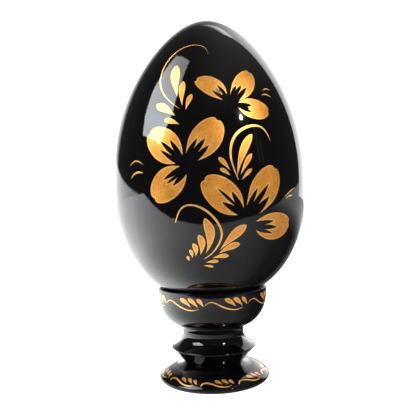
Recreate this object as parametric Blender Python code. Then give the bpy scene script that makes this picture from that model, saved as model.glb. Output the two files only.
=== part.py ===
"""A lacquered wooden egg on a turned pedestal stand.

Run it with blender --background --python part.py, or from Blender's text editor.  It makes six turned
pieces around the Z axis, in metres, with the origin on the table under the middle of the foot:

  foot          low domed disc, dished underneath, with a socket for the stem dowel
  knop          sharp-edged collar between foot and cup, bored through for the stem dowel
  cup           bowl whose dished seat follows the blunt end of the egg, bored through
  stem_dowel    beech dowel that joins foot, knop and cup
  locating_peg  loose beech dowel that stands on the stem dowel and reaches up into the egg
  egg_body      the egg, turned from one block, with a blind hole in its blunt end for the peg

The egg turns in the cup on its peg, and lifts off it.
"""

import math

import bpy

MM = 0.001

# ---- Driving dimensions ------------------------------------------------------------------------
TOTAL_HEIGHT = 250.0 * MM
STAND_HEIGHT = 64.0 * MM
EGG_HEIGHT = 196.4 * MM
EGG_RADIUS = 66.6 * MM
EGG_TAPER = 0.15  # how far the widest ring sits below mid height
EGG_POINT = 0.10  # how much slimmer the top end is than the bottom end

CUP_RIM_RADIUS = 38.4 * MM
CUP_BELLY = (36.9 * MM, 51.3 * MM)
CUP_FOOT_RADIUS = 22.4 * MM
NECK_RADIUS = 21.4 * MM
KNOP_TURN = (23.4 * MM, 26.6 * MM)
KNOP_RADIUS = 28.9 * MM
WAIST_RADIUS = 20.7 * MM
DOME_TURN = (26.5 * MM, 8.6 * MM)
DOME_EDGE = (37.9 * MM, 3.5 * MM)
FOOT_RADIUS = 38.6 * MM
REST_OUTER = 37.0 * MM  # the flat ring that stands on the table
REST_INNER = 30.0 * MM
DISH_DEPTH = 1.6 * MM

WAIST_HEIGHT = 11.5 * MM  # the foot ends and the knop begins
KNOP_EDGE_HEIGHT = 22.1 * MM
NECK_HEIGHT = 36.3 * MM  # the knop ends and the cup begins

DOWEL_RADIUS = 5.0 * MM
DOWEL_BOTTOM = 4.3 * MM
DOWEL_TOP = 43.0 * MM
PEG_TOP = 74.0 * MM
CHAMFER = 0.8 * MM

# ---- Fits --------------------------------------------------------------------------------------
GAP = 0.3 * MM  # glue line of a closed joint, and the play of the loose peg
SEAT_GAP = 0.3 * MM  # between the egg and its seat

# ---- Fineness ----------------------------------------------------------------------------------
TURN_STEPS = 64
EGG_RINGS = 40
MERGE = 0.00001

EGG_MIDDLE = TOTAL_HEIGHT - EGG_HEIGHT / 2
PEG_BOTTOM = DOWEL_TOP + GAP
BORE_RADIUS = DOWEL_RADIUS + GAP


# ---- Profiles: lists of (radius, height) ---------------------------------------------------------
def arc(start, end, bulge, steps):
    """Points of the circular arc from start to end, both included.

    bulge is the arc's rise over its chord: positive to the right of the way from start to end.
    """
    chord = math.dist(start, end)
    radius = (chord * chord / 4 + bulge * bulge) / (2 * abs(bulge))
    side = math.copysign(1.0, bulge)
    along = ((end[0] - start[0]) / chord, (end[1] - start[1]) / chord)
    right = (along[1] * side, -along[0] * side)
    inset = radius - abs(bulge)
    middle = ((start[0] + end[0]) / 2, (start[1] + end[1]) / 2)
    centre = (middle[0] - right[0] * inset, middle[1] - right[1] * inset)
    half = math.asin(min(1.0, chord / 2 / radius))
    points = []
    for step in range(steps + 1):
        angle = half * (2 * step / steps - 1)
        across, out = radius * math.sin(angle), radius * math.cos(angle)
        r = centre[0] + along[0] * across + right[0] * out
        z = centre[1] + along[1] * across + right[1] * out
        points.append((r, z))
    return points


def joined(*stretches):
    """One line through all the stretches, without doubled points where they meet."""
    line = []
    for stretch in stretches:
        for point in stretch:
            if not line or math.dist(line[-1], point) > MERGE:
                line.append(point)
    return line


def egg_outline(angle):
    """The egg's outline: angle 0 is the pointed top and pi the blunt bottom."""
    t = math.cos(angle)
    radius = EGG_RADIUS * math.sin(angle) * (1 - EGG_TAPER * t - EGG_POINT * t**3)
    return radius, EGG_MIDDLE + EGG_HEIGHT / 2 * t


def egg_point(angle, outset=0.0):
    """A point of the egg's outline, moved out square to it by outset."""
    nudge = 0.0005
    above, below = egg_outline(angle - nudge), egg_outline(angle + nudge)
    run = math.dist(above, below)
    radius, height = egg_outline(angle)
    radius += outset * (above[1] - below[1]) / run
    height += outset * (below[0] - above[0]) / run
    return radius, height


def egg_angle(passed, outset=0.0):
    """The last angle, going down the egg, before the outline meets the test passed(radius, height)."""
    low, high = math.pi / 2, math.pi - 0.001
    for _ in range(50):
        middle = (low + high) / 2
        if passed(*egg_point(middle, outset)):
            high = middle
        else:
            low = middle
    return low


def egg_stretch(first, last, steps, outset=0.0):
    """The egg's outline between two angles."""
    return [egg_point(first + (last - first) * i / steps, outset) for i in range(steps + 1)]


# ---- Turning ---------------------------------------------------------------------------------
def material(name, colour, roughness):
    made = bpy.data.materials.new(name)
    made.use_nodes = True
    surface = made.node_tree.nodes["Principled BSDF"]
    surface.inputs["Base Color"].default_value = (*colour, 1.0)
    surface.inputs["Roughness"].default_value = roughness
    surface.inputs["Metallic"].default_value = 0.0
    return made


def turned(name, outline, finish, closed=False):
    """A turned piece from its outline, which runs down the outer side from top to bottom.

    An open outline starts and ends on the axis.  A closed one goes all round a ring's section.
    """
    edges = [(i, i + 1) for i in range(len(outline) - 1)]
    if closed:
        edges.append((len(outline) - 1, 0))
    mesh = bpy.data.meshes.new(name)
    mesh.from_pydata([(radius, 0.0, height) for radius, height in outline], edges, [])
    mesh.materials.append(finish)
    piece = bpy.data.objects.new(name, mesh)
    bpy.context.scene.collection.objects.link(piece)
    screw = piece.modifiers.new("Turning", "SCREW")
    screw.axis = "Z"
    screw.angle = 2 * math.pi
    screw.steps = TURN_STEPS
    screw.render_steps = TURN_STEPS
    screw.use_merge_vertices = True
    screw.merge_threshold = MERGE
    screw.use_smooth_shade = True
    return piece


# ---- The pieces -------------------------------------------------------------------------------
def make_foot(finish):
    """Low dome on a rounded rim, dished underneath so that it stands on a flat ring."""
    top = WAIST_HEIGHT - GAP
    waist = (WAIST_RADIUS, top)
    edge = (FOOT_RADIUS, 1.7 * MM)
    outline = joined(
        [(0.0, DOWEL_BOTTOM - GAP), (BORE_RADIUS, DOWEL_BOTTOM - GAP), (BORE_RADIUS, top)],
        arc(waist, DOME_TURN, 0.3 * MM, 4),
        arc(DOME_TURN, DOME_EDGE, -1.0 * MM, 8),
        arc(DOME_EDGE, edge, -0.3 * MM, 3),
        arc(edge, (REST_OUTER, 0.0), -0.3 * MM, 3),
        arc((REST_INNER, 0.0), (24.0 * MM, DISH_DEPTH), 0.3 * MM, 3),
        [(0.0, DISH_DEPTH)],
    )
    return turned("foot", outline, finish)


def make_knop(finish):
    """Collar with a sharp edge, a swept upper flank and a plain cone below."""
    half_edge = 0.5 * MM
    edge_top = (KNOP_RADIUS, KNOP_EDGE_HEIGHT + half_edge)
    edge_bottom = (KNOP_RADIUS, KNOP_EDGE_HEIGHT - half_edge)
    neck_low = (NECK_RADIUS - 0.2 * MM, 33.4 * MM)
    outline = joined(
        [(BORE_RADIUS, WAIST_HEIGHT), (BORE_RADIUS, NECK_HEIGHT)],
        arc((NECK_RADIUS, NECK_HEIGHT), neck_low, 0.1 * MM, 2),
        arc(neck_low, KNOP_TURN, 0.9 * MM, 6),
        arc(KNOP_TURN, edge_top, 0.35 * MM, 5),
        arc(edge_top, edge_bottom, -0.3 * MM, 4),
        arc(edge_bottom, (WAIST_RADIUS, WAIST_HEIGHT), 0.3 * MM, 4),
    )
    return turned("knop", outline, finish, closed=True)


def make_cup(finish):
    """Bowl with a dished seat for the egg, bored right through for dowel and peg."""
    foot_height = NECK_HEIGHT + GAP
    lip = 0.45 * MM
    mouth = egg_angle(lambda radius, height: radius < BORE_RADIUS, SEAT_GAP)
    rim = egg_angle(lambda radius, height: height < STAND_HEIGHT - lip, SEAT_GAP)
    seat = egg_stretch(mouth, rim, 9, SEAT_GAP)
    shoulder = (CUP_RIM_RADIUS, STAND_HEIGHT - lip)
    outline = joined(
        seat,
        [(seat[-1][0] + lip, STAND_HEIGHT), (CUP_RIM_RADIUS - lip, STAND_HEIGHT)],
        arc(shoulder, CUP_BELLY, -0.45 * MM, 5),
        arc(CUP_BELLY, (CUP_FOOT_RADIUS, foot_height), -2.6 * MM, 10),
        [(BORE_RADIUS, foot_height)],
    )
    return turned("cup", outline, finish, closed=True)


def make_dowel(name, bottom, top, finish):
    """Round dowel with a chamfer at each end."""
    outline = [
        (0.0, top),
        (DOWEL_RADIUS - CHAMFER, top),
        (DOWEL_RADIUS, top - CHAMFER),
        (DOWEL_RADIUS, bottom + CHAMFER),
        (DOWEL_RADIUS - CHAMFER, bottom),
        (0.0, bottom),
    ]
    return turned(name, outline, finish)


def make_egg_body(finish):
    """The whole egg, with a blind hole that follows the peg up from the blunt end."""
    edge = egg_angle(lambda radius, height: radius < BORE_RADIUS)
    outer = egg_stretch(0.0, edge, EGG_RINGS)
    bore_top = PEG_TOP + GAP
    outline = joined(
        [(0.0, outer[0][1])],
        outer[1:],
        [(BORE_RADIUS, outer[-1][1]), (BORE_RADIUS, bore_top), (0.0, bore_top)],
    )
    return turned("egg_body", outline, finish)


def build():
    for old in list(bpy.data.objects):
        bpy.data.objects.remove(old, do_unlink=True)
    lacquer = material("black_lacquer", (0.005, 0.005, 0.006), 0.06)
    beech = material("beech", (0.62, 0.42, 0.24), 0.6)
    make_foot(lacquer)
    make_knop(lacquer)
    make_cup(lacquer)
    make_dowel("stem_dowel", DOWEL_BOTTOM, DOWEL_TOP, beech)
    make_dowel("locating_peg", PEG_BOTTOM, PEG_TOP, beech)
    make_egg_body(lacquer)


build()
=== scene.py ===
"""Looks of the lacquered egg on its turned stand.

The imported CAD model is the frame.  Finer turned pieces stand for the egg, cup, knop and foot, the two
dowels keep their CAD mesh, and the gold painting is a set of thin paint films that follow the turned
surfaces.  Metres, +Z up, origin on the table under the foot; the photograph's camera looks along +Y.
"""

import bisect
import math

import bmesh
import bpy
from mathutils import Matrix, Vector


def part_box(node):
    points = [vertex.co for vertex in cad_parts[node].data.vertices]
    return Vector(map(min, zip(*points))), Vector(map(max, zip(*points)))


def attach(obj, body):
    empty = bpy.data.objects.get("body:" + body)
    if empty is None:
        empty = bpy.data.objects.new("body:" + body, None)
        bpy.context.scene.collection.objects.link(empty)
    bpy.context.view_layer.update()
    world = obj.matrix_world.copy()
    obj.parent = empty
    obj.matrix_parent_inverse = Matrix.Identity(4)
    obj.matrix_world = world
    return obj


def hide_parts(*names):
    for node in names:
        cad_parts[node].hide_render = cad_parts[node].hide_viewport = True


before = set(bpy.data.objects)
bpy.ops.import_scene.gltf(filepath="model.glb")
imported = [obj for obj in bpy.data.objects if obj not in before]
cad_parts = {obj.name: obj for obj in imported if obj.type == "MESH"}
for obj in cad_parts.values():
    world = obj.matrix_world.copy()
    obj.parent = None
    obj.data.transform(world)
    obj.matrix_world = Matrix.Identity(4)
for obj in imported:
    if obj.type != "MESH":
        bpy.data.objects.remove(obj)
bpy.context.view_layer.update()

MM = 0.001

# ---- Fineness ----------------------------------------------------------------------------------
TURN_STEPS = 192
EGG_RINGS = 130
MERGE = 0.00001
SHARP = math.radians(38)
LINE_STEP = 0.25 * MM  # spacing of the points that an ornament reads its surface from
FILM_GRID = 1.1 * MM  # the largest cell of a paint film

# ---- Sizes read from the frame ------------------------------------------------------------------
EGG_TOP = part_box("egg_body")[1].z
EGG_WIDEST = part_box("egg_body")[1].x
CUP_LOW, CUP_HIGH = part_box("cup")
KNOP_LOW, KNOP_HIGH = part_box("knop")
FOOT_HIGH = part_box("foot")[1]
DOWEL_GAP = 0.3 * MM
BORE_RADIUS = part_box("locating_peg")[1].x + DOWEL_GAP
BORE_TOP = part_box("locating_peg")[1].z + DOWEL_GAP
SOCKET_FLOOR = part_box("stem_dowel")[0].z - DOWEL_GAP

# ---- Shape of the turned outlines, as in the CAD but for a slight flare of the knop's neck ----------
# A pair is (radius, height), and a bulge is how far an arc swells from its chord
EGG_HEIGHT = 196.4 * MM
EGG_TAPER = 0.15
EGG_POINT = 0.10
EGG_MIDDLE = EGG_TOP - EGG_HEIGHT / 2
SEAT_GAP = 0.3 * MM
LIP = 0.45 * MM
LIP_BULGES = (-0.1 * MM, -0.13 * MM)  # inner and outer edge of the cup's flat lip
GLUE_RADIUS = 16.0 * MM  # end faces are bare wood inside this, and lacquered outside it
CUP_BELLY = (36.9 * MM, 51.3 * MM)
CUP_FOOT_RADIUS = 22.4 * MM
CUP_WALL_BULGE = -0.45 * MM
CUP_BOWL_BULGE = -2.6 * MM
NECK_RADIUS = 21.1 * MM
NECK_LOW = (21.6 * MM, 33.4 * MM)
NECK_BULGE = 0.06 * MM
KNOP_TURN = (23.4 * MM, 26.6 * MM)
KNOP_SWEEP = 0.9 * MM
KNOP_FLANK = 0.35 * MM
KNOP_EDGE_HIGH = 22.6 * MM
KNOP_EDGE_LOW = 21.6 * MM
WAIST_RADIUS = 20.7 * MM
WAIST_BULGE = 0.3 * MM
DOME_TURN = (26.5 * MM, 8.6 * MM)
DOME_EDGE = (37.9 * MM, 3.5 * MM)
DOME_BULGE = -1.0 * MM
FOOT_EDGE_HEIGHT = 1.7 * MM
REST_OUTER = 37.0 * MM
REST_INNER = 30.0 * MM
DISH = (24.0 * MM, 1.6 * MM)
ROUNDED = -0.3 * MM  # the bulge of a small rounded edge

# ---- Paint film --------------------------------------------------------------------------------
FILM_LIFT = 0.07 * MM  # height of the paint over the skin
FILM_STEP = 0.012 * MM  # strokes that cross lie at slightly different heights
FILM_LEVELS = 4
FILM_ROOT = 0.04 * MM  # depth of its underside below the skin
RIM_WIDTH = 0.7  # the paler rim of a stroke, in millimetres
STREAK_SHIFT = (7.3, 3.1)  # from stroke to stroke, so that no two share their streaks


# ---- Outlines: lists of (radius, height) -----------------------------------------------------------
def arc(start, end, bulge, steps):
    """Points of the circular arc from start to end; bulge is positive to the right of the way."""
    chord = math.dist(start, end)
    radius = (chord * chord / 4 + bulge * bulge) / (2 * abs(bulge))
    side = math.copysign(1.0, bulge)
    along = ((end[0] - start[0]) / chord, (end[1] - start[1]) / chord)
    right = (along[1] * side, -along[0] * side)
    inset = radius - abs(bulge)
    centre = (
        (start[0] + end[0]) / 2 - right[0] * inset,
        (start[1] + end[1]) / 2 - right[1] * inset,
    )
    half = math.asin(min(1.0, chord / 2 / radius))
    points = []
    for step in range(steps + 1):
        angle = half * (2 * step / steps - 1)
        across, out = radius * math.sin(angle), radius * math.cos(angle)
        r = centre[0] + along[0] * across + right[0] * out
        z = centre[1] + along[1] * across + right[1] * out
        points.append((r, z))
    return points


def straight(start, end, steps):
    return [
        (start[0] + (end[0] - start[0]) * i / steps, start[1] + (end[1] - start[1]) * i / steps)
        for i in range(steps + 1)
    ]


def joined(*stretches):
    """One line through all the stretches, without doubled points where they meet."""
    line = []
    for stretch in stretches:
        for point in stretch:
            if not line or math.dist(line[-1], point) > MERGE:
                line.append(point)
    return line


def egg_shape(angle):
    """The egg's half width as a share of its driving radius."""
    t = math.cos(angle)
    return math.sin(angle) * (1 - EGG_TAPER * t - EGG_POINT * t**3)


EGG_RADIUS = EGG_WIDEST / max(egg_shape(math.pi * i / 2000) for i in range(2001))


def egg_outline(angle):
    return EGG_RADIUS * egg_shape(angle), EGG_MIDDLE + EGG_HEIGHT / 2 * math.cos(angle)


def egg_point(angle, outset=0.0):
    """A point of the egg's outline, moved out square to it by outset."""
    nudge = 0.0005
    above, below = egg_outline(angle - nudge), egg_outline(angle + nudge)
    run = math.dist(above, below)
    radius, height = egg_outline(angle)
    return (
        radius + outset * (above[1] - below[1]) / run,
        height + outset * (below[0] - above[0]) / run,
    )


def egg_angle(passed, outset=0.0):
    """The last angle, going down the egg, before the outline meets passed(radius, height)."""
    low, high = math.pi / 2, math.pi - 0.001
    for _ in range(50):
        middle = (low + high) / 2
        if passed(*egg_point(middle, outset)):
            high = middle
        else:
            low = middle
    return low


def egg_stretch(first, last, steps, outset=0.0):
    return [egg_point(first + (last - first) * i / steps, outset) for i in range(steps + 1)]


# ---- Turned surfaces that the painting reads ---------------------------------------------------------
class Meridian:
    """A turned surface's outline, running upwards, read by its length."""

    def __init__(self, outline):
        points = outline if outline[0][1] < outline[-1][1] else outline[::-1]
        self.radii = [p[0] for p in points]
        self.heights = [p[1] for p in points]
        self.lengths = [0.0]
        for a, b in zip(points, points[1:]):
            self.lengths.append(self.lengths[-1] + math.dist(a, b))

    def _read(self, keys, key, values):
        i = min(max(bisect.bisect_right(keys, key) - 1, 0), len(keys) - 2)
        share = (key - keys[i]) / (keys[i + 1] - keys[i])
        return values[i] + (values[i + 1] - values[i]) * share

    def length_at(self, height):
        return self._read(self.heights, height, self.lengths)

    def ring(self, length):
        """(radius, height) at that length."""
        return self._read(self.lengths, length, self.radii), self._read(
            self.lengths, length, self.heights
        )

    def slope(self, length):
        """The outward direction in the section, as (radial, upward)."""
        low, high = self.ring(length - LINE_STEP), self.ring(length + LINE_STEP)
        run = math.dist(low, high)
        return (high[1] - low[1]) / run, (low[0] - high[0]) / run

    def point(self, azimuth, length, lift):
        """(place, outward direction); azimuth 0 faces the camera and grows to its right."""
        radius, height = self.ring(length)
        out, up = self.slope(length)
        side, front = math.sin(azimuth), -math.cos(azimuth)
        normal = Vector((side * out, front * out, up))
        return Vector((side * radius, front * radius, height)) + normal * lift, normal


# ---- Materials -----------------------------------------------------------------------------------
class Nodes:
    """Short hand for building the nodes of one material or world."""

    def __init__(self, owner, output="ShaderNodeOutputMaterial"):
        self.owner = owner
        owner.use_nodes = True
        self.tree = owner.node_tree
        self.tree.nodes.clear()
        self.output = self.add(output)

    def add(self, kind, **values):
        node = self.tree.nodes.new(kind)
        for key, value in values.items():
            if key in node.inputs.keys():
                self.set(node.inputs[key], value)
            else:
                setattr(node, key, value)
        return node

    def set(self, socket, value):
        if isinstance(value, bpy.types.NodeSocket):
            self.tree.links.new(value, socket)
        else:
            socket.default_value = value

    def coordinates(self, kind="Object"):
        return self.add("ShaderNodeTexCoord").outputs[kind]

    def parts(self, vector):
        """The x, y and z of a vector."""
        node = self.add("ShaderNodeSeparateXYZ")
        self.set(node.inputs["Vector"], vector)
        return [node.outputs[axis] for axis in "XYZ"]

    def maths(self, operation, *values):
        node = self.add("ShaderNodeMath", operation=operation)
        for socket, value in zip(node.inputs, values):
            self.set(socket, value)
        return node.outputs[0]

    def times(self, *values):
        product = values[0]
        for value in values[1:]:
            product = self.maths("MULTIPLY", product, value)
        return product

    def plus(self, *values):
        total = values[0]
        for value in values[1:]:
            total = self.maths("ADD", total, value)
        return total

    def noise(self, vector, scale, detail=2.0, roughness=0.5):
        node = self.add("ShaderNodeTexNoise", Scale=scale, Detail=detail, Roughness=roughness)
        self.set(node.inputs["Vector"], vector)
        return node.outputs["Fac"]

    def stretched(self, vector, scale):
        node = self.add("ShaderNodeMapping", Scale=scale)
        self.set(node.inputs["Vector"], vector)
        return node.outputs["Vector"]

    def band(self, value, low, high, to_low=0.0, to_high=1.0, shape="LINEAR"):
        node = self.add("ShaderNodeMapRange", interpolation_type=shape)
        numbers = {"From Min": low, "From Max": high, "To Min": to_low, "To Max": to_high}
        for key, number in numbers.items():
            self.set(node.inputs[key], number)
        self.set(node.inputs["Value"], value)
        return node.outputs["Result"]

    def smooth(self, value, low, high, to_low=0.0, to_high=1.0):
        return self.band(value, low, high, to_low, to_high, "SMOOTHSTEP")

    def colours(self, value, *stops):
        node = self.add("ShaderNodeValToRGB")
        ramp = node.color_ramp
        while len(ramp.elements) < len(stops):
            ramp.elements.new(0.5)
        for element, (place, colour) in zip(ramp.elements, stops):
            element.position = place
            element.color = (*colour, 1.0)
        self.set(node.inputs["Fac"], value)
        return node.outputs["Color"]

    def bump(self, height, strength, distance):
        node = self.add("ShaderNodeBump", Strength=strength, Distance=distance)
        self.set(node.inputs["Height"], height)
        return node.outputs["Normal"]

    def surface(self, **values):
        shader = self.add("ShaderNodeBsdfPrincipled")
        for key, value in values.items():
            self.set(shader.inputs[key.replace("_", " ")], value)
        self.set(self.output.inputs["Surface"], shader.outputs["BSDF"])
        return shader

    def glow(self, colour, strength):
        shader = self.add("ShaderNodeEmission", Color=(*colour, 1.0), Strength=strength)
        self.set(self.output.inputs["Surface"], shader.outputs["Emission"])


def new_material(name):
    return Nodes(bpy.data.materials.new(name))


# The slow swell of the gloss, on bare lacquer and over the gold alike
SWELL_SCALE = 55.0
GLOSS_BUMP = (0.35, 0.12 * MM)  # strength and height


def lacquer_material():
    """Black lacquer: a mirror gloss with a slight swell, a fine ripple and a little dust."""
    n = new_material("black_lacquer_gloss")
    place = n.coordinates()
    swell = n.noise(place, SWELL_SCALE, 1.0)
    ripple = n.noise(place, 620.0, 2.0)
    turning = n.noise(n.stretched(place, (40.0, 40.0, 2600.0)), 1.0, 1.0)
    height = n.plus(swell, n.times(ripple, 0.34), n.times(turning, 0.012))
    haze = n.band(n.noise(place, 90.0, 4.0, 0.6), 0.35, 0.75, 0.025, 0.07)
    dust = n.band(n.noise(place, 5200.0, 1.0), 0.74, 0.80, 0.0, 0.5)
    n.surface(
        Base_Color=n.colours(dust, (0.0, (0.0008, 0.0008, 0.0009)), (1.0, (0.04, 0.038, 0.036))),
        Roughness=haze,
        IOR=1.52,
        Normal=n.bump(height, *GLOSS_BUMP),
    )
    return n.owner


def gold_material():
    """Bronze-powder paint under the gloss: mottled and brush-streaked, paler at its rims."""
    n = new_material("gold_paint_under_gloss")
    place = n.coordinates()
    along = n.add("ShaderNodeUVMap", uv_map="stroke").outputs["UV"]
    rim = n.add("ShaderNodeAttribute", attribute_name="rim").outputs["Fac"]
    mottle = n.noise(place, 950.0, 4.0, 0.62)
    cloud = n.noise(place, 120.0, 2.0)
    streak = n.noise(n.stretched(along, (0.5, 3.2, 1.0)), 1.0, 3.0, 0.6)
    base = n.colours(
        n.plus(n.times(mottle, 0.42), n.times(streak, 0.33), n.times(cloud, 0.25), n.times(rim, 0.20)),
        (0.35, (0.40, 0.135, 0.014)),
        (0.46, (0.66, 0.260, 0.034)),
        (0.57, (0.80, 0.350, 0.056)),
        (0.72, (0.94, 0.530, 0.150)),
    )
    grain = n.plus(mottle, n.times(streak, 0.5))
    shader = n.surface(
        Base_Color=base,
        Metallic=0.72,
        Roughness=n.band(mottle, 0.3, 0.7, 0.34, 0.52),
        Normal=n.bump(grain, 0.35, 0.06 * MM),
        Coat_Weight=1.0,
        Coat_Roughness=0.03,
        Coat_IOR=1.5,
    )
    swell = n.noise(place, SWELL_SCALE, 1.0)
    n.set(shader.inputs["Coat Normal"], n.bump(swell, *GLOSS_BUMP))
    return n.owner


def wood_material():
    """Bare beech: long fibres, soft year rings and short dark flecks."""
    n = new_material("beech_bare_wood")
    place = n.coordinates()
    heart = (0.030, 0.012, 0.0)  # the tree's middle lies this far beside the axis
    shifted = n.add("ShaderNodeVectorMath", operation="ADD")
    n.set(shifted.inputs[0], place)
    n.set(shifted.inputs[1], heart)
    warp = n.noise(n.stretched(place, (60.0, 60.0, 9.0)), 1.0, 2.0)
    flat = n.stretched(shifted.outputs["Vector"], (1.0, 1.0, 0.0))
    length = n.add("ShaderNodeVectorMath", operation="LENGTH")
    n.set(length.inputs[0], flat)
    rings = n.maths("SINE", n.plus(n.times(length.outputs["Value"], 2600.0), n.times(warp, 7.0)))
    fibres = n.noise(n.stretched(place, (2600.0, 2600.0, 60.0)), 1.0, 3.0, 0.6)
    flecks = n.band(n.noise(n.stretched(place, (1500.0, 1500.0, 220.0)), 1.0, 1.0), 0.66, 0.74)
    tone = n.plus(n.times(rings, 0.12), n.times(fibres, 0.75), n.times(flecks, -0.22))
    base = n.colours(
        tone,
        (0.05, (0.36, 0.200, 0.095)),
        (0.35, (0.56, 0.360, 0.200)),
        (0.70, (0.72, 0.510, 0.310)),
    )
    n.surface(
        Base_Color=base,
        Roughness=n.band(fibres, 0.3, 0.7, 0.5, 0.72),
        Normal=n.bump(fibres, 0.5, 0.12 * MM),
    )
    return n.owner


LACQUER = lacquer_material()
GOLD = gold_material()
WOOD = wood_material()


# ---- Turned pieces --------------------------------------------------------------------------------
def linked(name, mesh):
    piece = bpy.data.objects.new(name, mesh)
    bpy.context.scene.collection.objects.link(piece)
    return piece


def turned(name, outline, bare, closed=False):
    """A turned piece from its outline; bare(radius, height) says where the wood is left unpainted.

    Points on the axis become one vertex each.  The outline runs with the material on its left.
    """
    verts, rings = [], []
    for radius, height in outline:
        if radius < MERGE:
            rings.append([len(verts)])
            verts.append((0.0, 0.0, height))
            continue
        rings.append(list(range(len(verts), len(verts) + TURN_STEPS)))
        for step in range(TURN_STEPS):
            angle = 2 * math.pi * step / TURN_STEPS
            verts.append((radius * math.cos(angle), radius * math.sin(angle), height))
    faces, kinds = [], []
    pairs = list(zip(range(len(outline)), range(1, len(outline))))
    if closed:
        pairs.append((len(outline) - 1, 0))
    for i, j in pairs:
        upper, lower = rings[i], rings[j]
        if len(upper) == 1 and len(lower) == 1:
            continue
        middle = [(outline[i][k] + outline[j][k]) / 2 for k in (0, 1)]
        kind = 1 if bare(*middle) else 0
        for step in range(TURN_STEPS):
            after = (step + 1) % TURN_STEPS
            if len(upper) == 1:
                face = (upper[0], lower[step], lower[after])
            elif len(lower) == 1:
                face = (upper[step], lower[0], upper[after])
            else:
                face = (upper[step], lower[step], lower[after], upper[after])
            faces.append(face)
            kinds.append(kind)
    mesh = bpy.data.meshes.new(name)
    mesh.from_pydata(verts, [], faces)
    mesh.materials.append(LACQUER)
    mesh.materials.append(WOOD)
    mesh.polygons.foreach_set("material_index", kinds)
    mesh.polygons.foreach_set("use_smooth", [True] * len(faces))
    mesh.set_sharp_from_angle(angle=SHARP)
    mesh.update()
    return linked(name, mesh)


def in_bore(radius):
    return radius <= BORE_RADIUS + MERGE


def under_glue(radius):
    return radius < GLUE_RADIUS


def make_egg():
    edge = egg_angle(lambda radius, height: radius < BORE_RADIUS)
    skin = egg_stretch(0.0, edge, EGG_RINGS)
    mouth = skin[-1][1]
    outline = joined(
        [(0.0, skin[0][1])],
        skin[1:],
        straight((BORE_RADIUS, mouth), (BORE_RADIUS, BORE_TOP), 12),
        [(BORE_RADIUS / 2, BORE_TOP), (0.0, BORE_TOP)],
    )

    def bare(radius, height):
        return in_bore(radius) and height < BORE_TOP + MERGE

    return turned("egg_lacquered", outline, bare), Meridian(skin[1:])


def make_cup():
    high = CUP_HIGH.z
    mouth = egg_angle(lambda radius, height: radius < BORE_RADIUS, SEAT_GAP)
    rim = egg_angle(lambda radius, height: height < high - LIP, SEAT_GAP)
    seat = egg_stretch(mouth, rim, 40, SEAT_GAP)
    shoulder = (CUP_HIGH.x, high - LIP)
    belly = arc(shoulder, CUP_BELLY, CUP_WALL_BULGE, 30)
    bowl = arc(CUP_BELLY, (CUP_FOOT_RADIUS, CUP_LOW.z), CUP_BOWL_BULGE, 40)
    outline = joined(
        seat,
        arc(seat[-1], (seat[-1][0] + LIP, high), LIP_BULGES[0], 4),
        arc((CUP_HIGH.x - LIP, high), shoulder, LIP_BULGES[1], 5),
        belly,
        bowl,
        straight((CUP_FOOT_RADIUS, CUP_LOW.z), (BORE_RADIUS, CUP_LOW.z), 4)[1:],
        straight((BORE_RADIUS, CUP_LOW.z), seat[0], 6)[1:-1],
    )

    def bare(radius, height):
        return in_bore(radius) or (under_glue(radius) and height < CUP_LOW.z + MERGE)

    return turned("cup_turned", outline, bare, True), Meridian(joined(belly, bowl))


def make_knop():
    edge_top = (KNOP_HIGH.x, KNOP_EDGE_HIGH)
    edge_low = (KNOP_HIGH.x, KNOP_EDGE_LOW)
    low, high = KNOP_LOW.z, KNOP_HIGH.z
    outline = joined(
        straight((BORE_RADIUS, low), (BORE_RADIUS, high), 8),
        straight((BORE_RADIUS, high), (NECK_RADIUS, high), 3),
        arc((NECK_RADIUS, high), NECK_LOW, NECK_BULGE, 8),
        arc(NECK_LOW, KNOP_TURN, KNOP_SWEEP, 22),
        arc(KNOP_TURN, edge_top, KNOP_FLANK, 18),
        arc(edge_top, edge_low, ROUNDED, 8),
        arc(edge_low, (WAIST_RADIUS, low), WAIST_BULGE, 20),
        straight((WAIST_RADIUS, low), (BORE_RADIUS, low), 3)[:-1],
    )
    ends = (low + MERGE, high - MERGE)

    def bare(radius, height):
        return in_bore(radius) or (under_glue(radius) and not ends[0] < height < ends[1])

    return turned("knop_turned", outline, bare, True)


def make_foot():
    top = FOOT_HIGH.z
    edge = (FOOT_HIGH.x, FOOT_EDGE_HEIGHT)
    dome = joined(
        arc((WAIST_RADIUS, top), DOME_TURN, WAIST_BULGE, 14),
        arc(DOME_TURN, DOME_EDGE, DOME_BULGE, 36),
        arc(DOME_EDGE, edge, ROUNDED, 8),
    )
    outline = joined(
        [(0.0, SOCKET_FLOOR), (BORE_RADIUS / 2, SOCKET_FLOOR)],
        straight((BORE_RADIUS, SOCKET_FLOOR), (BORE_RADIUS, top), 4),
        straight((BORE_RADIUS, top), (WAIST_RADIUS, top), 3),
        dome,
        arc(edge, (REST_OUTER, 0.0), ROUNDED, 6),
        straight((REST_OUTER, 0.0), (REST_INNER, 0.0), 3),
        arc((REST_INNER, 0.0), DISH, -ROUNDED, 8),
        straight(DISH, (0.0, DISH[1]), 6),
    )

    def bare(radius, height):
        socket = in_bore(radius) and height > DISH[1] + MM
        return socket or (under_glue(radius) and height > top - MERGE)

    return turned("foot_turned", outline, bare), Meridian(dome)


egg, egg_skin = make_egg()
cup, cup_skin = make_cup()
knop = make_knop()
foot, foot_skin = make_foot()
for piece, node, body in (
    (egg, "egg_body", "egg"),
    (cup, "cup", "stand"),
    (knop, "knop", "stand"),
    (foot, "foot", "stand"),
):
    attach(piece, body)
    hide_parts(node)

for node in ("stem_dowel", "locating_peg"):
    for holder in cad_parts[node].material_slots:
        holder.material = WOOD


# ---- Brush strokes: closed outlines in millimetres on a flat chart ----------------------------------
SPLINE_PACE = 0.75  # 1 would run evenly through uneven spacing, 0 would ignore the spacing


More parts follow.
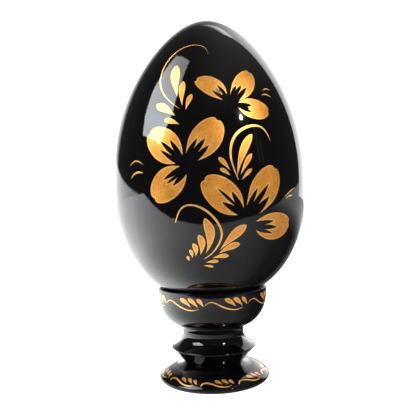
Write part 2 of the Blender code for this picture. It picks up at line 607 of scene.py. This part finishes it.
def through(points, steps=6):
    """A smooth line through the points: a natural cubic spline."""
    last = len(points) - 1
    spans = [math.dist(a, b) ** SPLINE_PACE for a, b in zip(points, points[1:])]
    bends = []
    for k in (0, 1):
        below, diagonal, value = [0.0], [1.0], [0.0]
        for i in range(1, last):
            a, b = spans[i - 1], spans[i]
            rise = (points[i + 1][k] - points[i][k]) / b - (points[i][k] - points[i - 1][k]) / a
            pivot = 2 * (a + b) - a * below[i - 1]
            below.append(b / pivot)
            diagonal.append(pivot)
            value.append((6 * rise - a * value[i - 1]) / pivot)
        bend = [0.0] * (last + 1)
        for i in range(last - 1, 0, -1):
            bend[i] = value[i] - below[i] * bend[i + 1]
        bends.append(bend)
    line = []
    for i, span in enumerate(spans):
        for step in range(steps):
            t = step / steps
            s = 1 - t
            line.append(
                tuple(
                    s * points[i][k]
                    + t * points[i + 1][k]
                    + span * span / 6
                    * ((s**3 - s) * bends[k][i] + (t**3 - t) * bends[k][i + 1])
                    for k in (0, 1)
                )
            )
    line.append(tuple(points[-1]))
    return line


def bowed(start, end, bow, steps=5):
    """A line from start to end that swells to its left by bow."""
    length = math.dist(start, end) or 1.0
    left = (-(end[1] - start[1]) / length, (end[0] - start[0]) / length)
    line = []
    for step in range(steps + 1):
        t = step / steps
        out = bow * 4 * t * (1 - t)
        line.append(tuple(start[k] + (end[k] - start[k]) * t + left[k] * out for k in (0, 1)))
    return line


def placed(points, base, angle):
    """Points given along and left of an axis, moved to base and turned by angle degrees."""
    c, s = math.cos(math.radians(angle)), math.sin(math.radians(angle))
    return [(base[0] + p[0] * c - p[1] * s, base[1] + p[0] * s + p[1] * c) for p in points]


# A petal's sides as shares of its length and of its half width, from base to notch and back
LEFT_SIDE = ((0.18, 0.78), (0.43, 1.0), (0.73, 0.89), (0.92, 0.58), (0.998, 0.24))
RIGHT_SIDE = ((1.0, 0.16), (0.945, 0.53), (0.74, 0.9), (0.45, 1.0), (0.19, 0.77))
NOTCH_DEPTH = 0.028
NOTCH_SHIFT = 0.06
SPIKE_BOWS = (-0.75, -0.35, -0.55, -0.55, -0.35, -0.75)  # of the six edges round the spikes


def petal(base, angle, length, gap, left, right, spikes, fingers):
    """A two-lobed petal whose base is cut by three dark spikes into four fingers.

    gap is half the way between its two inner tips, left and right are its half widths, and the
    spikes' and fingers' tips are (along, left) from base.
    """
    notch = (length * (1 - NOTCH_DEPTH), (left - right) * NOTCH_SHIFT)
    side_a = [(length * t, left * s) for t, s in LEFT_SIDE]
    side_b = [(length * t, -right * s) for t, s in RIGHT_SIDE]
    tip_a, tip_b = (0.0, gap), (0.0, -gap)
    outline = through([tip_a, *side_a, notch]) + through([notch, *side_b, tip_b])[1:]
    inner = [tip_b, spikes[2], fingers[1], spikes[1], fingers[0], spikes[0], tip_a]
    for a, b, bow in zip(inner, inner[1:], SPIKE_BOWS):
        outline += bowed(a, b, bow)[1:]
    outline.pop()
    return placed(outline, base, angle), base, angle


LEAF_PEAK = 0.70  # share of its length where a leaf is widest
LEAF_POWER = math.log(0.5) / math.log(LEAF_PEAK)
LEAF_FULLNESS = 0.62
LEAF_STEPS = 22


def leaf(base, tip, width, bend=0.0):
    """A one-touch brush leaf: pointed where it starts and full and round where it ends."""
    length = math.dist(base, tip)
    angle = math.degrees(math.atan2(tip[1] - base[1], tip[0] - base[0]))
    upper, lower = [], []
    for step in range(LEAF_STEPS + 1):
        t = (1 - math.cos(math.pi * step / LEAF_STEPS)) / 2
        swell = math.sin(math.pi * t**LEAF_POWER) if 0 < t < 1 else 0.0
        half = width / 2 * swell**LEAF_FULLNESS
        mid = bend * 4 * t * (1 - t)
        upper.append((length * t, mid + half))
        lower.append((length * t, mid - half))
    outline = lower + upper[-2:0:-1]
    return placed(outline, base, angle), base, angle


def stem(points, width, start=0.15, peak=0.5, end=0.1):
    """A curved line whose width swells from start to the full width at peak and falls to end."""
    line = through(points, 8)
    runs = [0.0]
    for a, b in zip(line, line[1:]):
        runs.append(runs[-1] + math.dist(a, b))
    one, other = [], []
    for i, here in enumerate(line):
        t = runs[i] / runs[-1]
        a, b = line[max(i - 1, 0)], line[min(i + 1, len(line) - 1)]
        run = math.dist(a, b) or 1.0
        left = (-(b[1] - a[1]) / run, (b[0] - a[0]) / run)
        if t < peak:
            share = start + (1 - start) * math.sin(math.pi / 2 * t / peak)
        else:
            share = end + (1 - end) * math.cos(math.pi / 2 * (t - peak) / (1 - peak))
        half = width / 2 * share
        one.append((here[0] + left[0] * half, here[1] + left[1] * half))
        other.append((here[0] - left[0] * half, here[1] - left[1] * half))
    first, last = line[0], line[-1]
    angle = math.degrees(math.atan2(last[1] - first[1], last[0] - first[0]))
    return other + one[::-1], first, angle


# ---- Paint films ----------------------------------------------------------------------------------
def to_outline(point, outline):
    """Distance from a point to a closed outline."""
    best = math.inf
    for a, b in zip(outline, outline[1:] + outline[:1]):
        dx, dy = b[0] - a[0], b[1] - a[1]
        span = dx * dx + dy * dy or 1.0
        t = min(1.0, max(0.0, ((point[0] - a[0]) * dx + (point[1] - a[1]) * dy) / span))
        best = min(best, math.hypot(point[0] - a[0] - dx * t, point[1] - a[1] - dy * t))
    return best


# Millimetres, and square millimetres for the area, below which a stroke's mesh is cleaned
ON_CUT, WELD, SHORT_EDGE, NO_AREA = 1e-6, 1e-4, 1e-5, 1e-9


def flat_cells(outline, grid):
    """The outline filled with faces no larger than the grid: (points, faces), counter-clockwise."""
    made = bmesh.new()
    face = made.faces.new([made.verts.new((x, y, 0.0)) for x, y in outline])
    face.normal_update()
    if face.normal.z < 0:
        face.normal_flip()
    bmesh.ops.triangulate(made, faces=made.faces[:], ngon_method="BEAUTY")
    for axis in (0, 1):
        low = min(p[axis] for p in outline)
        high = max(p[axis] for p in outline)
        for k in range(math.floor(low / grid) + 1, math.ceil(high / grid)):
            place, normal = Vector(), Vector()
            place[axis] = k * grid
            normal[axis] = 1.0
            bmesh.ops.bisect_plane(
                made,
                geom=made.verts[:] + made.edges[:] + made.faces[:],
                dist=ON_CUT,
                plane_co=place,
                plane_no=normal,
            )
    bmesh.ops.remove_doubles(made, verts=made.verts, dist=WELD)
    bmesh.ops.dissolve_degenerate(made, dist=SHORT_EDGE, edges=made.edges)
    made.verts.index_update()
    points = [(v.co.x, v.co.y) for v in made.verts]
    faces = [[v.index for v in f.verts] for f in made.faces if f.calc_area() > NO_AREA]
    made.free()
    return points, faces


def film(name, skin, charts, body):
    """One thin closed film of gold for many strokes.

    charts is a list of (azimuth in degrees, height in millimetres, strokes), and every stroke is
    (outline, base, angle) in millimetres around that place: u to the right and v up the surface.
    """
    verts, faces, normals, strokes_uv, rims = [], [], [], [], []
    count = 0
    for azimuth, height, strokes in charts:
        start = skin.length_at(height * MM)
        for outline, base, angle in strokes:
            lift = FILM_LIFT + FILM_STEP * (count % FILM_LEVELS)
            count += 1
            points, cells = flat_cells(outline, FILM_GRID / MM)
            c, s = math.cos(math.radians(angle)), math.sin(math.radians(angle))
            top, under = len(verts), len(verts) + len(points)
            upper, lower, outs = [], [], []
            for u, v in points:
                length = start + v * MM
                radius = skin.ring(length)[0]
                turn = math.radians(azimuth) + u * MM / radius
                place, out = skin.point(turn, length, lift)
                upper.append(place)
                lower.append(skin.point(turn, length, -FILM_ROOT)[0])
                outs.append(out)
                du, dv = u - base[0], v - base[1]
                along, across = du * c + dv * s, dv * c - du * s
                strokes_uv.append((along + count * STREAK_SHIFT[0], across + count * STREAK_SHIFT[1]))
                rims.append(1.0 - min(1.0, to_outline((u, v), outline) / RIM_WIDTH))
            strokes_uv += strokes_uv[-len(points):]
            rims += rims[-len(points):]
            verts += upper + lower
            edges = {}
            for cell in cells:
                edges.update(dict.fromkeys(zip(cell, cell[1:] + cell[:1])))
                faces.append([top + i for i in cell])
                normals.append([outs[i] for i in cell])
                faces.append([under + i for i in reversed(cell)])
                normals.append([-outs[i] for i in reversed(cell)])
            for a, b in edges:
                if (b, a) in edges:
                    continue  # only the edges that one cell has get a wall
                faces.append([top + b, top + a, under + a, under + b])
                outward = (upper[b] - upper[a]).cross(outs[a])
                outward.normalize()
                normals.append([outward] * 4)
    mesh = bpy.data.meshes.new(name)
    mesh.from_pydata([tuple(v) for v in verts], [], faces)
    uv = mesh.uv_layers.new(name="stroke")
    for loop in mesh.loops:
        uv.data[loop.index].uv = strokes_uv[loop.vertex_index]
    rim = mesh.attributes.new("rim", "FLOAT", "POINT")
    rim.data.foreach_set("value", rims)
    mesh.polygons.foreach_set("use_smooth", [True] * len(mesh.polygons))
    mesh.normals_split_custom_set([tuple(n) for face in normals for n in face])
    mesh.materials.append(GOLD)
    piece = linked(name, mesh)
    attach(piece, body)


# ---- The painting: each motif in millimetres around its own middle ---------------------------------
def flower_small():
    return [
        petal((-3.3, 1.5), 143, 20.3, 2.3, 4.6, 8.1,
              ((9.0, 0.6), (8.7, -2.0), (8.7, -4.5)), ((2.5, -0.1), (2.4, -1.2))),
        petal((2.6, 1.3), 58, 23.7, 3.1, 5.7, 7.9,
              ((8.6, 2.9), (10.8, 0.2), (11.6, -3.4)), ((3.3, 1.5), (2.5, -0.4))),
        petal((4.4, -3.5), -8, 21.2, 1.6, 6.1, 7.0,
              ((8.8, 1.5), (6.8, -0.8), (8.9, -3.4)), ((5.2, -0.4), (6.4, -1.6))),
    ]


def flower_middle():
    return [
        petal((-6.2, 1.5), 139, 26.8, 3.2, 9.0, 9.9,
              ((13.6, 3.3), (17.4, -0.8), (12.6, -5.4)), ((4.8, 1.1), (6.1, -1.9))),
        petal((1.4, 2.7), 56, 26.8, 4.2, 8.3, 9.9,
              ((10.9, 3.5), (13.4, -0.6), (11.3, -4.7)), ((4.6, 1.8), (4.3, -1.6))),
        petal((-3.8, -4.9), -140, 25.5, 3.1, 8.5, 9.9,
              ((11.1, 2.7), (13.2, -1.1), (12.9, -4.3)), ((5.1, 0.8), (5.0, -0.8))),
    ]


def flower_large():
    return [
        petal((-4.0, 2.3), 139, 29.2, 2.7, 8.5, 9.4,
              ((12.8, 3.2), (20.3, -1.2), (12.4, -5.4)), ((5.2, -0.1), (6.5, -1.6))),
        petal((3.8, 3.2), 58, 29.6, 4.9, 9.3, 9.7,
              ((12.8, 4.5), (19.1, -1.0), (12.8, -5.4)), ((3.8, 2.4), (4.7, -1.4))),
        petal((6.3, -6.8), 3, 27.8, 2.7, 7.1, 9.8,
              ((13.6, 2.1), (16.6, -2.0), (12.8, -5.7)), ((6.2, 0.4), (6.1, -2.6))),
    ]


def spray_top():
    return [
        stem([(12.6, 41.8), (9.4, 47.6), (2.4, 50.6), (-9.6, 44.8), (-16.7, 22.5), (-9.8, 8.7),
              (-1.4, 1.4)], 0.9),
        leaf((-3.2, 9.3), (-6.8, 33.1), 6.2, 0.8),
        leaf((0.4, 2.8), (-0.4, 19.9), 4.0, 0.6),
        leaf((2.7, 0.2), (5.6, 10.3), 3.2, 0.3),
        leaf((-3.6, -3.3), (-17.1, 5.5), 5.2, -0.6),
        leaf((-0.6, -8.9), (-10.6, -5.2), 3.4, -0.4),
    ]


def spray_middle():
    return [
        stem([(22.3, 22.8), (17.6, 30.6), (11.4, 32.4), (-0.8, 26.8), (-5.1, 16.0), (-4.2, 8.7),
              (-0.9, -0.3)], 1.6, 0.1, 0.45, 0.2),
        leaf((-1.6, 1.6), (8.9, 27.1), 5.0, 1.8),
        leaf((0.3, 2.4), (8.1, 15.2), 3.0, 0.4),
        leaf((1.0, -0.4), (7.6, 6.2), 2.3, 0.2),
        leaf((-5.9, 5.3), (-12.2, 12.9), 2.8, -0.4),
        leaf((-5.5, 2.2), (-11.7, 6.5), 2.4, -0.3),
    ]


def spray_low():
    return [
        stem([(-15.7, 25.2), (-11.5, 33.6), (-6.6, 35.4), (3.8, 31.3), (11.2, 20.8), (11.4, 15.8),
              (5.5, 5.6), (0.4, 1.6)], 1.3, 0.4, 0.55, 0.25),
        leaf((1.5, 5.2), (2.2, 27.4), 5.9, -3.0),
        leaf((-1.8, 4.4), (-1.6, 17.5), 4.3, -1.4),
        leaf((-4.7, 3.3), (-5.3, 12.1), 3.3, -0.8),
        leaf((-6.7, 2.2), (-7.9, 8.1), 2.3, -0.5),
        leaf((-8.8, 0.2), (-9.7, 3.8), 1.9),
        leaf((10.0, 7.3), (26.7, 22.7), 5.6, 0.8),
        leaf((9.2, 5.0), (22.4, 11.3), 4.1, 0.8),
        leaf((5.2, 2.0), (15.3, 3.5), 3.0, 0.5),
        leaf((1.2, -1.0), (8.9, -0.2), 2.4, 0.3),
        leaf((-0.3, -3.2), (5.6, -4.2), 1.7, 0.2),
    ]


def curls_left():
    return [
        stem([(-6.0, -1.4), (-3.2, 0.4), (-0.4, 1.1), (2.8, 0.3), (6.2, -1.6)], 0.85, 0.2, 0.4, 0.1),
        stem([(-4.6, -9.4), (-2.6, -7.4), (0.2, -6.3), (3.0, -6.0), (6.0, -6.6)], 1.2, 0.15, 0.6, 0.2),
    ]


def curls_high():
    return [
        stem([(-3.8, 0.6), (-1.8, 1.9), (0.6, 2.5), (3.6, 2.0)], 0.85, 0.15, 0.6, 0.2),
        stem([(-5.4, -2.6), (-2.6, -1.9), (0.0, -2.2), (2.4, -3.4)], 1.0, 0.2, 0.4, 0.1),
    ]


def curls_low():
    return [
        stem([(-5.6, -2.4), (-3.0, -0.6), (1.0, 1.6), (5.4, 3.2)], 0.8, 0.15, 0.6, 0.2),
        stem([(-4.6, -3.6), (-1.5, -2.0), (2.6, -1.6)], 1.1, 0.15, 0.7, 0.3),
    ]


def bouquet(turn):
    """The whole painting of one side of the egg, turned by so many degrees."""
    return {
        "flower_small": [(13 + turn, 183, flower_small())],
        "flower_middle": [(-10 + turn, 146, flower_middle())],
        "flower_large": [(19 + turn, 114, flower_large())],
        "spray_top": [(-15 + turn, 177, spray_top())],
        "spray_middle": [(15 + turn, 135, spray_middle())],
        "spray_low": [(-5 + turn, 87, spray_low())],
        "tendrils": [
            (-42 + turn, 147.5, curls_left()),
            (40 + turn, 190, curls_high()),
            (48 + turn, 127, curls_low()),
        ],
    }


for side, turn in (("front", 0), ("back", 180)):
    for part, charts in bouquet(turn).items():
        film(f"{part}_{side}", egg_skin, charts, "egg")


def cup_unit():
    return [
        stem([(-14.9, -0.6), (-12.1, 1.5), (-8.8, 1.4), (-4.5, -0.8), (0.3, -2.9), (5.5, -3.9),
              (11.0, -2.8)], 0.9, 0.25, 0.6, 0.12),
        leaf((5.8, -2.0), (-1.9, 3.6), 3.0, -0.7),
        leaf((10.6, -1.9), (4.0, 3.9), 2.8, -0.6),
        leaf((14.2, -1.4), (10.1, 3.8), 2.6, -0.5),
    ]


def foot_unit():
    return [
        stem([(-12.0, -1.5), (-10.4, 0.4), (-6.2, 0.9), (-1.8, -0.9), (2.7, -2.1), (6.3, -2.0),
              (8.4, -1.0)], 1.1, 0.6, 0.3, 0.2),
        leaf((2.2, -0.1), (-2.6, 3.1), 2.3, -0.3),
        leaf((6.4, -0.4), (2.0, 3.7), 2.3, -0.3),
        leaf((10.0, -0.8), (6.7, 3.0), 2.1, -0.2),
    ]


def all_round(unit, repeats, first, height):
    """The charts of one unit repeated round a band, from the azimuth of the first."""
    return [(first + 360 / repeats * i, height, unit()) for i in range(repeats)]


film("cup_band", cup_skin, all_round(cup_unit, repeats=8, first=-30.5, height=57), "stand")
film("foot_band", foot_skin, all_round(foot_unit, repeats=9, first=4.5, height=5.5), "stand")


# ---- Studio ---------------------------------------------------------------------------------------
EYE = Vector((-0.00157, -0.3557, 0.1188))
ROLL = math.radians(-1.4)
LENS = 43.27
SENSOR = 36.0
EGG_CENTRE = Vector((0.0, 0.0, 0.150))


def direction(azimuth, elevation):
    """Azimuth 0 points to the photograph's camera and 90 to its right, in degrees."""
    a, e = math.radians(azimuth), math.radians(elevation)
    return Vector((math.sin(a) * math.cos(e), -math.cos(a) * math.cos(e), math.sin(e)))


def make_camera():
    data = bpy.data.cameras.new("camera")
    data.lens = LENS
    data.sensor_width = SENSOR
    data.clip_start = 0.01
    data.clip_end = 20.0
    camera = bpy.data.objects.new("camera", data)
    camera.matrix_world = (
        Matrix.Translation(EYE)
        @ Matrix.Rotation(math.pi / 2, 4, "X")
        @ Matrix.Rotation(ROLL, 4, "Z")
    )
    bpy.context.scene.collection.objects.link(camera)
    bpy.context.scene.camera = camera


def card(name, corners, material, camera=False, glossy=True, diffuse=False, shadow=False):
    """A flat stage piece from its corners, with the kinds of ray that see it."""
    mesh = bpy.data.meshes.new(name)
    mesh.from_pydata([tuple(c) for c in corners], [], [tuple(range(len(corners)))])
    mesh.materials.append(material)
    piece = linked(name, mesh)
    piece.visible_camera = camera
    piece.visible_glossy = glossy
    piece.visible_diffuse = diffuse
    piece.visible_shadow = shadow
    piece.visible_transmission = False
    piece.visible_volume_scatter = False


FLOOR_REACH = 6.0
# The outline of the table that the lacquer mirrors: its front edge runs close by the camera
TABLE = ((-2.2, -0.42), (-0.27, -0.274), (0.17, -0.278), (0.45, -0.225), (2.2, 0.33),
         (2.2, 3.0), (-2.2, 3.0))
# Its brightness by the azimuth round the stand: light at the left, shaded by the egg at the right
TABLE_LIGHT = ((-180, 1.7), (-160, 2.1), (-135, 3.1), (-100, 4.4), (-80, 3.8), (-60, 2.8),
               (-40, 1.9), (-15, 1.2), (5, 0.9), (40, 0.72), (62, 0.40), (84, 0.13), (120, 0.03),
               (150, 0.25), (180, 1.7))
TABLE_BRIGHTEST = max(level for _, level in TABLE_LIGHT)
TABLE_TINT = (0.975, 0.99, 1.0)
TABLE_DROP = 0.5 * MM  # it lies this far below the floor
FLOOR_GLOW = 0.93


def make_floor():
    """The pale floor that the camera sees."""
    n = new_material("pale_floor")
    tone = n.band(n.noise(n.coordinates(), 3.0, 3.0), 0.3, 0.7, 0.86, 0.90)
    colour = n.add("ShaderNodeCombineColor")
    for channel in ("Red", "Green", "Blue"):
        n.set(colour.inputs[channel], tone)
    n.surface(
        Base_Color=colour.outputs["Color"],
        Roughness=0.9,
        Specular_IOR_Level=0.0,
        Emission_Color=(1.0, 1.0, 1.0, 1.0),
        Emission_Strength=FLOOR_GLOW,
    )
    sides = ((-1, -1), (1, -1), (1, 1), (-1, 1))
    corners = [(x * FLOOR_REACH, y * FLOOR_REACH, 0.0) for x, y in sides]
    card("floor", corners, n.owner, camera=True, glossy=False, diffuse=True, shadow=True)


def make_table():
    """The table as the lacquer mirrors it, just under the floor: a glowing sheet with the studio's
    light and the egg's shadow painted into its glow.
    """
    n = new_material("floor_light")
    x, y, _ = n.parts(n.coordinates())
    away = n.maths("SQRT", n.plus(n.times(x, x), n.times(y, y)))
    azimuth = n.maths("ARCTAN2", x, n.times(y, -1.0))
    stops = [((a + 180) / 360, (level / TABLE_BRIGHTEST,) * 3) for a, level in TABLE_LIGHT]
    light = n.colours(n.band(azimuth, -math.pi, math.pi), *stops)
    # Painted shade: the glow is dimmed close to the stand, where the stand and egg shade the table, and
    # rises again far off, past the egg's painted shadow
    shade_near_the_stand = n.band(away, 0.05, 0.22, 0.55, 1.0)
    far_off = n.band(away, 0.35, 0.95, 0.0, 0.95)
    n.glow(TABLE_TINT, n.maths("MAXIMUM", n.times(light, TABLE_BRIGHTEST, shade_near_the_stand), far_off))
    card("floor_seen_by_gloss", [(x, y, -TABLE_DROP) for x, y in TABLE], n.owner)


# Directions in which the egg sees the corners of a panel up at the left
SOFTBOX = ((-98.6, 63.8), (-54, 70), (-47.8, 51), (-48, 36), (-56.5, 19.6), (-84, 22.6),
           (-88.5, 30), (-93.5, 42), (-94.4, 51))
SOFTBOX_FACING = (-73, 45)
SOFTBOX_DISTANCE = 0.70
SOFTBOX_TINT = (0.93, 0.97, 1.0)


def make_softbox():
    """The panel, brighter towards its inner edge and its low end and dimmer at its high end."""
    facing = direction(*SOFTBOX_FACING)
    corners = []
    for azimuth, elevation in SOFTBOX:
        ray = direction(azimuth, elevation)
        corners.append(EGG_CENTRE + ray * (SOFTBOX_DISTANCE / ray.dot(facing)))
    n = new_material("softbox_glow")
    x, _, z = n.parts(n.coordinates())
    across = n.band(x, -0.66, -0.42, 6.0, 12.0)
    low_end = n.band(z, 0.42, 0.58, 1.6, 1.0)
    high_end = n.band(z, 0.54, 0.82, 1.0, 0.30)
    n.glow(SOFTBOX_TINT, n.times(across, low_end, high_end))
    card("softbox", corners, n.owner, diffuse=True)


GLINT_TINT = (0.8, 0.9, 1.0)
GLINT_DISTANCE = 1.5


def make_glint(azimuth, low, high, strength):
    """A faint upright streak of the room: a strip that leans back as it rises."""
    name = f"room_glint_{azimuth:.0f}"
    edges = ((azimuth, low), (azimuth + 1.2, low), (azimuth + 0.4, high), (azimuth - 0.6, high))
    n = new_material(name)
    n.glow(GLINT_TINT, strength)
    card(name, [EGG_CENTRE + direction(*edge) * GLINT_DISTANCE for edge in edges], n.owner)


LAMP_TINT = (1.0, 0.98, 0.95)


def round_lamp(name, azimuth, elevation, distance, size, power, glossy=True):
    """A disk lamp that faces the egg, with its size in metres and its power in watts."""
    data = bpy.data.lights.new(name, "AREA")
    data.shape = "DISK"
    data.size = size
    data.energy = power
    data.color = LAMP_TINT
    lamp = bpy.data.objects.new(name, data)
    ray = direction(azimuth, elevation)
    lamp.location = EGG_CENTRE + ray * distance
    lamp.rotation_mode = "QUATERNION"
    lamp.rotation_quaternion = ray.to_track_quat("Z", "Y")
    lamp.visible_camera = False
    lamp.visible_glossy = glossy
    bpy.context.scene.collection.objects.link(lamp)


# Great circles that bound what the lacquer mirrors, each by the normal on its bright side
BACKDROP_LEFT = (0.62, 0.651, -0.437)
BACKDROP_RIGHT = (-0.585, 0.795, -0.163)
TABLE_LEFT = (0.049, 0.213, -0.976)
TABLE_RIGHT = (-0.101, 0.189, -0.976)
SEEN_WHITE = 1.05
DARK_ROOM = 0.075


def make_world():
    """White seen directly.  In reflections: white behind the egg and a dark room in front of it."""
    n = Nodes(bpy.data.worlds.new("studio"), "ShaderNodeOutputWorld")
    toward = n.coordinates("Generated")
    x, y, z = n.parts(toward)

    def beyond(normal, soft):
        """1 on the side of a great circle that its normal points to."""
        node = n.add("ShaderNodeVectorMath", operation="DOT_PRODUCT")
        n.set(node.inputs[0], toward)
        n.set(node.inputs[1], normal)
        return n.smooth(node.outputs["Value"], -soft, soft)

    # The white backdrop behind the egg, with a soft left edge, a sharp right one and a top
    left_edge, right_edge = beyond(BACKDROP_LEFT, 0.10), beyond(BACKDROP_RIGHT, 0.02)
    backdrop = n.times(left_edge, right_edge, n.smooth(z, 0.918, 0.893))
    fading_up = n.smooth(z, 0.05, 0.5, 1.7, 0.4)
    at_right = n.times(n.smooth(x, 0.0, 0.45), 1.5)
    along_top = n.times(n.smooth(z, 0.80, 0.86), n.smooth(x, -0.16, 0.0), 3.0)
    backdrop = n.times(n.plus(fading_up, at_right, along_top), backdrop)
    # Low at both sides, past the ends of the table
    low_left = n.times(beyond(TABLE_LEFT, 0.012), n.smooth(x, 0.0, -0.1), n.smooth(y, -0.27, -0.24))
    low_right = n.times(beyond(TABLE_RIGHT, 0.012), n.smooth(x, 0.0, 0.1), n.smooth(y, 0.05, 0.12))
    low = n.plus(n.times(low_left, 3.2), n.times(low_right, 1.1))
    # The room is a little paler high up at the right
    paler = n.times(n.smooth(z, 0.55, 0.97), n.smooth(x, -0.4, 0.4), 0.2)
    mirrored = n.maths("MAXIMUM", n.maths("MAXIMUM", backdrop, low), n.plus(paler, DARK_ROOM))
    direct = n.add("ShaderNodeLightPath").outputs["Is Camera Ray"]
    strength = n.plus(n.times(direct, SEEN_WHITE), n.times(n.maths("SUBTRACT", 1.0, direct), mirrored))
    background = n.add("ShaderNodeBackground", Color=(1.0, 1.0, 1.0, 1.0), Strength=strength)
    n.set(n.output.inputs["Surface"], background.outputs["Background"])
    bpy.context.scene.world = n.owner


make_camera()
make_floor()
make_table()
make_softbox()
round_lamp("star_lamp", azimuth=42, elevation=34.5, distance=0.9, size=0.026, power=5.5)
round_lamp("front_fill", azimuth=25, elevation=5, distance=1.2, size=0.9, power=5.5, glossy=False)
make_glint(azimuth=57.0, low=10, high=29, strength=0.55)
make_glint(azimuth=61.5, low=9, high=22, strength=0.4)
make_world()

view = bpy.context.scene.view_settings
view.view_transform = "Standard"
view.look = "None"
